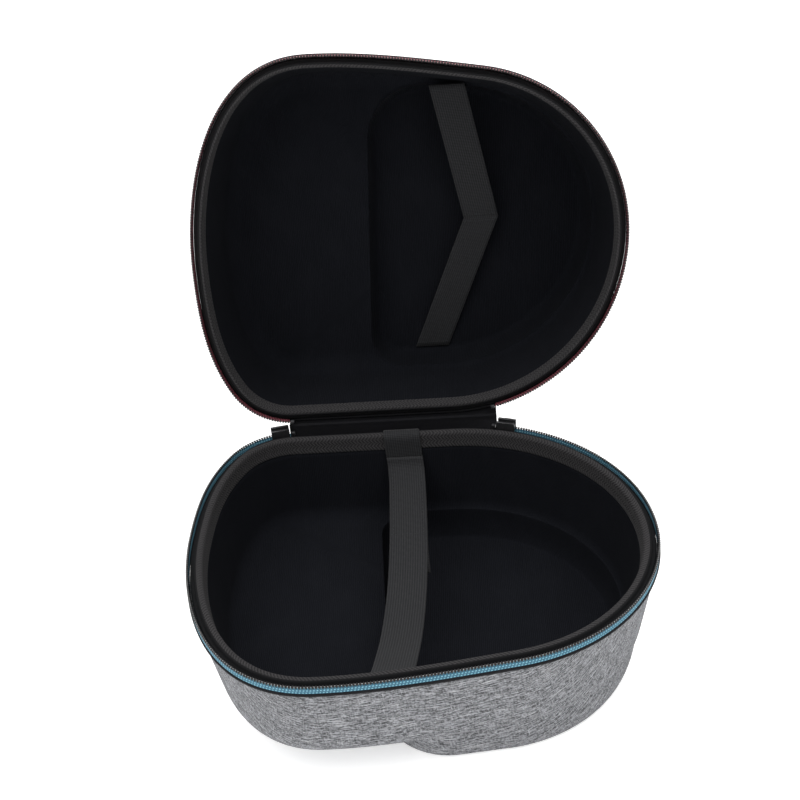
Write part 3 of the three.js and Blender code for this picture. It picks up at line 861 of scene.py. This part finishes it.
def zip_tape_piece(half, material, slot):
    """The coloured tape that stands outside the teeth."""
    half_thick = 0.32
    top, bottom = -0.55, -3.5
    section = [(-half_thick, bottom), (-half_thick, top), (-0.12, top + 0.25),
               (0.18, top + 0.2), (half_thick + 0.05, top - 0.2),
               (half_thick + 0.16, -1.8), (half_thick + 0.1, -2.8), (half_thick, bottom)]
    trim_piece(half, "_tape", rounded_section(section, 3), material, step=2.0,
               span=(ZIP_FROM, ZIP_TO), slot=slot, replaces=[half.name + "_zip_tape"])


def piping_piece(half):
    """The dark piping where the tape meets the cover."""
    centre, radius_out, radius_up = (0.1, -4.3), 0.78, 1.0
    turn = np.arange(12) * 2 * math.pi / 12
    section = np.stack([radius_out * np.cos(turn), radius_up * np.sin(turn)], axis=1) + centre
    trim_piece(half, "_piping", section, PIPING,
               slot="edge_piping", replaces=[half.name + "_edge_piping"])


def ball(segments, rings):
    """Points and faces of a unit ball, its poles along the first coordinate."""
    turn = np.arange(segments) * 2 * math.pi / segments
    lift = np.arange(1, rings) * math.pi / rings
    points = [(-1, 0, 0), (1, 0, 0)]
    points += [(-math.cos(a), math.sin(a) * math.cos(t), math.sin(a) * math.sin(t))
               for a in lift for t in turn]
    faces = []
    for s in range(segments):
        t = (s + 1) % segments
        faces.append((0, 2 + t, 2 + s))
        last = 2 + (rings - 2) * segments
        faces.append((1, last + s, last + t))
        for r in range(rings - 2):
            here, there = 2 + r * segments, 2 + (r + 1) * segments
            faces.append((here + s, here + t, there + t, there + s))
    return np.array(points), faces


def repeated(faces, size, count):
    """The faces of count copies of a mesh of size points."""
    return [[i + k * size for i in f] for k in range(count) for f in faces]


def tooth_row(half, name, runs, centre, radii, shape, material, **facts):
    """One small ball for each tooth, at centre (outward, height) from the tooth line."""
    template, faces = ball(*shape)
    points, normals = RIM.at(runs)
    along = np.stack([normals[:, 1], -normals[:, 0]], axis=1)
    a, n, h = (template * radii + [0, *centre]).T
    x = points[:, :1] + along[:, :1] * a + normals[:, :1] * n
    y = points[:, 1:] + along[:, 1:] * a + normals[:, 1:] * n
    placed = half.place(x, y, np.broadcast_to(h, x.shape)).reshape(-1, 3)
    return make_piece(half.name + name, half.name, placed,
                      repeated(faces, len(template), len(runs)), material, **facts)


def teeth(half, thread, shift):
    """The coil's turns, and the thread that sews each one to the tape. The thread is made pale, so
    its dots between the turns also serve as painted highlights on the black coil.
    """
    runs = np.arange(ZIP_FROM + 0.6 + shift, ZIP_TO - 0.4, TOOTH_PITCH)
    tooth_row(half, "_coil_teeth", runs, (0, 0.1), (0.52, 0.82, 0.84), (10, 6), COIL,
              slot="zip_coil", replaces=[half.name + "_zip_coil"])
    # The thread's pale dots are partly sewing thread and partly painted highlights of the teeth.
    tooth_row(half, "_coil_thread_painted_highlight", runs + TOOTH_PITCH / 2, (0.12, 0.42), (0.3, 0.26, 0.26),
              (6, 4), thread)


def stitch_row(name, body, points, along, length, width, material, **facts):
    """Short raised stitches at points, each lying along its own direction."""
    template, faces = ball(6, 4)
    points = np.asarray(points, float)
    along = unit(np.asarray(along, float))
    aslant = [0.3, 0.5, 0.8]
    side = unit(np.cross(along, aslant))
    up = np.cross(along, side)
    size = template * [length / 2, width / 2, width / 2]
    placed = (points[:, None] + along[:, None] * size[None, :, :1]
              + side[:, None] * size[None, :, 1:2] + up[:, None] * size[None, :, 2:])
    return make_piece(name, body, placed, repeated(faces, len(template), len(points)), material,
                      **facts)


def band_stitches(half):
    """The seam that holds the band's inner edge to the lining."""
    depth = 7.4
    out = wall_out(depth, half.lining_skin + BAND_OVER) - 0.02
    runs = np.arange(0, RIM.length, 2.6)
    points, normals = RIM.at(runs)
    x, y = (points + normals * out).T
    placed = half.place(x, y, np.full(len(runs), -depth))
    along = half.direction(normals[:, 1], -normals[:, 0], np.zeros(len(runs)))
    stitch_row(half.name + "_band_stitches", half.name, placed, along, 1.9, 0.34, DARK_THREAD)


# ---- bands and straps


def face_normals(path):
    """Unit normals of a band along a path, on the face that looks towards the mouth."""
    tangent = np.gradient(path, axis=0)
    normal = np.stack([np.zeros(len(path)), -tangent[:, 2], tangent[:, 1]], axis=1)
    return unit(normal)


def flat_band(name, body, path, width, thickness, material, rim=0.12, bend=None, **facts):
    """A flat band along a path in the row frame. Its width runs along X; its edges are
    rounded and slightly thicker. bend gives how far each of its points is moved, from the
    rings of points."""
    share = np.sin(np.linspace(-1, 1, 15) * math.pi / 2)
    half_thick = thickness / 2 * np.sqrt(np.clip(1 - np.abs(share) ** 14, 0, 1))
    half_thick += rim * np.exp(-(((np.abs(share) - 0.9) / 0.05) ** 2))
    half_thick[[0, -1]] = 0.0
    side = np.concatenate([share, share[-2:0:-1]]) * width / 2
    lift = np.concatenate([half_thick, -half_thick[-2:0:-1]])
    rings = path[:, None] + face_normals(path)[:, None] * lift[None, :, None]
    rings[..., 0] += side
    if bend:
        rings += bend(rings)
    run = run_of(path)
    v = np.append(side, side[0])
    return tube_piece(name, body, rings, material, np.append(run, run[-1] + 1), v, **facts)


def across_seam(path, at, width, spacing=2.0):
    """Points of a seam across a band, at one length along its path."""
    middle = sampled(path, run_of(path), at)
    side = np.arange(-width / 2 + 1.2, width / 2 - 0.8, spacing)
    points = np.repeat(middle[None], len(side), axis=0)
    points[:, 0] += side
    return points, np.tile([1.0, 0, 0], (len(side), 1))


def edge_seam(path, start, end, offset, spacing=2.6):
    """Points of a seam along a band, offset from its middle."""
    run = run_of(path)
    at = np.arange(start, end, spacing)
    points = sampled(path, run, at)
    along = sampled(path, run, at + 1) - points
    points[:, 0] += offset
    return points, along


def lifted(path, distance):
    """The path moved off a band's middle, towards the side that faces the mouth."""
    return path + face_normals(path) * distance


BASE_STRAP_WIDTH = 20
LID_STRAP_WIDTH = 19.5
STRAP_THICK = 1.2
PATCH_THICK = 0.7
SEAM_SUNK = 0.02
FRONT_OVERLAP = 56

FRONT_BAND = [
    (-8.9, BACK_Y - 12.6, -11.5), (-8.4, BACK_Y - 14.6, -15.6), (-8, BACK_Y - 20, -18.6),
    (-7.5, BACK_Y - 40, -21.5), (-7.3, BACK_Y - 70, -25), (-8, BACK_Y - 105, -26.5),
    (-9.8, BACK_Y - 140, -22.5), (-12, BACK_Y - 170, -13), (-13.2, BACK_Y - 184.4, -6.8),
]
REAR_BAND = [
    (-10, BACK_Y - 3.8, 0.7), (-9.9, BACK_Y - 6.6, 0.7), (-9.8, BACK_Y - 8.3, -0.4),
    (-9.7, BACK_Y - 8.9, -2.4), (-9.2, BACK_Y - 10, -9.5), (-8.6, BACK_Y - 12, -17.5),
    (-8, BACK_Y - 24, -23.2), (-7.5, BACK_Y - 42, -26), (-7.3, BACK_Y - 66, -29.6),
    (-6.5, BACK_Y - 80, -38),
]
PATCHES = [(-7.5, BACK_Y - 40, -21.6), (-7.3, BACK_Y - 62, -24.5)]


def in_mould(half, points):
    """Points (x, y, height) of a half's mould, in the row frame."""
    x, y, height = np.array(points, float).T
    return half.place(x, y, height)


def base_strap():
    """The two bands that close over the headphones, and the patches that join them."""
    front = smooth_path(in_mould(BASE, FRONT_BAND), 90)[::-1]
    rear = smooth_path(in_mould(BASE, REAR_BAND), 60)[::-1]
    flat_band("base_strap_front", "base", front, BASE_STRAP_WIDTH, STRAP_THICK, ELASTIC,
              slot="elastic_webbing", replaces=["strap_front_band"])
    flat_band("base_strap_rear", "base", rear, BASE_STRAP_WIDTH, STRAP_THICK, ELASTIC,
              slot="elastic_webbing", replaces=["strap_rear_band"])
    for name, drop, node in (("loop", 1.4, "strap_loop_patch"), ("hook", 2.4, "strap_hook_patch")):
        route = smooth_path(in_mould(BASE, PATCHES) - [0, 0, drop], 12)[::-1]
        flat_band(f"base_strap_{name}_pad", "base", route, BASE_STRAP_WIDTH - 2, PATCH_THICK,
                  HOOK, rim=0.05, slot="hook_and_loop", replaces=[node])
    top = lifted(front, STRAP_THICK / 2 - SEAM_SUNK)
    length = run_of(front)[-1]
    seams = [across_seam(top, length - back, BASE_STRAP_WIDTH) for back in (2, FRONT_OVERLAP)]
    edge = BASE_STRAP_WIDTH / 2 - 2.2
    seams += [edge_seam(top, length - FRONT_OVERLAP + 1, length - 3, offset)
              for offset in (-edge, edge)]
    points, along = (np.concatenate(parts) for parts in zip(*seams))
    stitch_row("base_strap_stitches", "base", points, along, 1.6, 0.4, DARK_THREAD)


LID_STRAP = [(25.2, FRONT_Y + 22.5, -40.5), (40.7, 0.5, -55), (8.7, BACK_Y - 20.5, -64.7)]


def lid_strap():
    """One band folded at its middle, so that it lies in a V. Its ends are sewn down."""
    front, fold, back = (np.array(p, float) for p in LID_STRAP)
    crease = [[-0.1, -0.5, -0.2], [0, 0, -0.5], [-0.1, 0.5, -0.2]]
    per_half = 30
    route = np.vstack([
        np.linspace(front, fold, per_half)[:-1],
        fold + crease,
        np.linspace(fold, back, per_half)[1:],
    ])
    path = in_mould(LID, route)
    flat_band("lid_strap", "lid", path, LID_STRAP_WIDTH, STRAP_THICK, ELASTIC,
              slot="elastic_webbing", replaces=["lid_strap_front_half", "lid_strap_back_half"])
    run = run_of(path)
    middle = run[per_half]
    seams = []
    for side in (-1, 1):
        face = lifted(path, side * (STRAP_THICK / 2 - SEAM_SUNK))
        for at in (middle - 2.2, middle + 2.2, 3.0, run[-1] - 3.0):
            seams.append(across_seam(face, at, LID_STRAP_WIDTH))
    points, along = (np.concatenate(parts) for parts in zip(*seams))
    stitch_row("lid_strap_stitches", "lid", points, along, 1.6, 0.36, DARK_THREAD)


# ---- hinge

HINGE_FROM_X = BACK_LEFT_CENTRE[0] - 2.4
HINGE_TO_X = BACK_RIGHT_CENTRE[0] + 25.2
HINGE_THICK = 0.8
HINGE_FREE = 6
HINGE_FOLD = 2.2
HINGE_SEAMS = (10.2, 12.8)
HINGE_WALL = [(-1.15, -14), (-0.6, -11), (0.15, -8), (1.55, -5.6), (2.0, -4), (2.3, -2)]


def back_curve(x):
    """How far in from the straight back edge the rim has curved, at these x."""
    right = np.clip(x - BACK_RIGHT_CENTRE[0], 0, None)
    left = np.clip(BACK_LEFT_CENTRE[0] - x, 0, None)
    return (BACK_RIGHT_RADIUS - np.sqrt(BACK_RIGHT_RADIUS**2 - right**2)
            + BACK_LEFT_RADIUS - np.sqrt(BACK_LEFT_RADIUS**2 - left**2))


def follow_wall(rings):
    """Moves the strip's sewn edges in with the curve of each half's wall, and leaves its
    fold straight."""
    axis = np.array([0, HINGE_Y, HINGE_Z])
    moves = np.zeros_like(rings)
    for half in (BASE, LID):
        into = half.direction(np.array(0.0), np.array(-1.0), np.array(0.0))
        down = half.direction(np.array(0.0), np.array(0.0), np.array(-1.0))
        depth = ((rings - axis) * down).sum(axis=2)
        share = np.clip((depth - HINGE_OUT) / HINGE_FREE, 0, 1)
        moves += (share * back_curve(rings[..., 0]))[..., None] * into
    return moves


def hinge_strip():
    """One strip of cloth, sewn to the back of both halves and drawn folded between them."""
    middle = (HINGE_FROM_X + HINGE_TO_X) / 2
    base_side = [(middle, BACK_Y + n, h) for n, h in HINGE_WALL]
    lid_side = [(middle, BACK_Y + n, h) for n, h in HINGE_WALL[:-1]][::-1]
    route = np.vstack([
        in_mould(BASE, base_side),
        [[middle, HINGE_Y, HINGE_Z - HINGE_FOLD], [middle, HINGE_Y + 0.1, HINGE_Z]],
        in_mould(LID, [(middle, HINGE_Y, MEET_GAP - (HINGE_Z - RIM_Z) - HINGE_FOLD)]),
        in_mould(LID, lid_side),
    ])
    path = smooth_path(route, 70)
    strip = flat_band("hinge_strip", None, path, HINGE_TO_X - HINGE_FROM_X, HINGE_THICK,
                      HINGE_CLOTH, rim=0.1, bend=follow_wall, slot="hinge_fabric",
                      replaces=["base_hinge_leaf", "lid_hinge_leaf"])
    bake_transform(strip)
    for half in (BASE, LID):
        hinge_stitches(half)


def hinge_stitches(half):
    """Two seams that sew the strip's edge to the wall of one half."""
    rows = []
    x = np.arange(HINGE_FROM_X + 2, HINGE_TO_X - 1.5, 2.6)
    wall_out_at, wall_height = zip(*HINGE_WALL)
    for depth in HINGE_SEAMS:
        out = np.interp(-depth, wall_height, wall_out_at) + HINGE_THICK / 2 + SEAM_SUNK
        rows.append(half.place(x, BACK_Y + out - back_curve(x), np.full(len(x), -depth)))
    points = np.concatenate(rows)
    along = np.tile([1.0, 0, 0], (len(points), 1))
    stitch_row(half.name + "_hinge_stitches", half.name, points, along, 1.8, 0.36, DARK_THREAD)


# ---- zip hardware


def finish_node(name, material, bevel):
    """A CAD node keeps its shape, and gets softened edges and its material."""
    node = frame["nodes"][name]
    node.data.materials.clear()
    node.data.materials.append(material)
    weld = node.modifiers.new("weld", "WELD")
    weld.merge_threshold = 0.005 * MM
    edges = node.modifiers.new("soften", "BEVEL")
    edges.width = bevel * MM
    edges.segments = 3
    edges.limit_method = "ANGLE"
    edges.angle_limit = math.radians(35)
    node.data.polygons.foreach_set("use_smooth", [True] * len(node.data.polygons))
    edges.harden_normals = True


def zip_hardware():
    """The sliders, their pulls and the end stops keep their CAD shapes."""
    for side in ("left", "right"):
        finish_node(side + "_slider", METAL, 0.22)
        finish_node(side + "_pull_link", METAL, 0.18)
        finish_node(side + "_pull_grip", GRIP, 0.4)
        for half in ("base", "lid"):
            finish_node(f"{half}_{side}_zip_stop", METAL, 0.3)


# ---- stage, light and camera

FLOOR_HALF = 30.0
FLOOR_GLOW = 0.5
HORIZON_LIGHT = 0.35
OVERHEAD_LIGHT = 2.5
FADE_LOW, FADE_HIGH = 0.45, 0.95
LAMP_POWER = 2.5

CAMERA_TARGET = (-10.98, 126.16, RIM_Z)
CAMERA_DISTANCE = 784.5
CAMERA_ELEVATION = math.radians(33.37)
CAMERA_AZIMUTH = math.radians(3.20)
CAMERA_ROLL = math.radians(-4.81)
SENSOR = 36
FOCAL_LENGTH = 61.6


def floor():
    """A pale floor that glows a little, like a light table."""
    far = FLOOR_HALF
    mesh = bpy.data.meshes.new("floor")
    corners = [(-far, -far, 0), (far, -far, 0), (far, far, 0), (-far, far, 0)]
    mesh.from_pydata(corners, [], [(0, 1, 2, 3)])
    plane = add_object("floor", mesh)
    s = Shader("pale_floor", 0.9, on_cloth=False)
    s.colour(s.mix(grey(0.88), grey(0.92), s.noise((300, 300, 300))))
    s.bsdf.inputs["Emission Color"].default_value = (1, 1, 1, 1)
    s.bsdf.inputs["Emission Strength"].default_value = FLOOR_GLOW
    mesh.materials.append(s.material)


def soft_light(name, where, towards, size, power):
    """A rectangular lamp at a place, turned towards another."""
    light = bpy.data.lights.new(name, "AREA")
    light.shape = "RECTANGLE"
    light.size, light.size_y = size
    light.energy = power
    lamp = add_object(name, light)
    lamp.location = where
    lamp.rotation_mode = "QUATERNION"
    lamp.rotation_quaternion = (Vector(towards) - Vector(where)).to_track_quat("-Z", "Y")


def studio():
    """A bright sky overhead that fades to a dim horizon, like a large softbox in a white
    room, and a weak lamp in front."""
    world = bpy.data.worlds.new("studio")
    world.use_nodes = True
    nodes, links = world.node_tree.nodes, world.node_tree.links
    direction = nodes.new("ShaderNodeTexCoord")
    height = nodes.new("ShaderNodeSeparateXYZ")
    links.new(direction.outputs["Generated"], height.inputs["Vector"])
    fade = nodes.new("ShaderNodeMapRange")
    fade.interpolation_type = "SMOOTHSTEP"
    for socket, value in (("From Min", FADE_LOW), ("From Max", FADE_HIGH),
                          ("To Min", HORIZON_LIGHT), ("To Max", OVERHEAD_LIGHT)):
        fade.inputs[socket].default_value = value
    links.new(height.outputs["Z"], fade.inputs["Value"])
    background = nodes["Background"]
    background.inputs["Color"].default_value = (1, 1, 1, 1)
    links.new(fade.outputs["Result"], background.inputs["Strength"])
    bpy.context.scene.world = world
    bpy.context.scene.view_settings.view_transform = "Standard"
    soft_light("front_left", (-0.9, -1.3, 0.9), (0, 0.05, 0.08), (0.9, 0.9), LAMP_POWER)


def camera():
    """The camera looks down into the open case, rolled a little about its line of sight."""
    back = Vector((
        math.sin(CAMERA_AZIMUTH) * math.cos(CAMERA_ELEVATION),
        -math.cos(CAMERA_AZIMUTH) * math.cos(CAMERA_ELEVATION),
        math.sin(CAMERA_ELEVATION),
    ))
    right = Vector((0, 0, 1)).cross(back).normalized()
    up = back.cross(right)
    c, s = math.cos(CAMERA_ROLL), math.sin(CAMERA_ROLL)
    rolled = Matrix((right * c + up * s, up * c - right * s, back)).transposed()
    data = bpy.data.cameras.new("camera")
    data.sensor_width = SENSOR
    data.lens = FOCAL_LENGTH
    data.clip_start, data.clip_end = 0.01, 20
    cam = add_object("camera", data)
    where = (Vector(CAMERA_TARGET) + back * CAMERA_DISTANCE) * MM
    cam.matrix_world = Matrix.Translation(where) @ rolled.to_4x4()
    bpy.context.scene.camera = cam


# ---- the case

# Each half's thread colour is partly painted highlight on its teeth.
for this_half, tape, tape_slot, thread, offset in (
    (BASE, BLUE_TAPE, "blue_zip_tape", PALE_HIGHLIGHT_THREAD, 0),
    (LID, RED_TAPE, "red_zip_tape", ROSE_HIGHLIGHT_THREAD, TOOTH_PITCH / 2),
):
    shell(this_half)
    rim_band(this_half)
    zip_selvedge(this_half)
    band_stitches(this_half)
    zip_tape_piece(this_half, tape, tape_slot)
    teeth(this_half, thread, offset)
    piping_piece(this_half)

base_strap()
lid_strap()
hinge_strip()
zip_hardware()
floor()
studio()
camera()
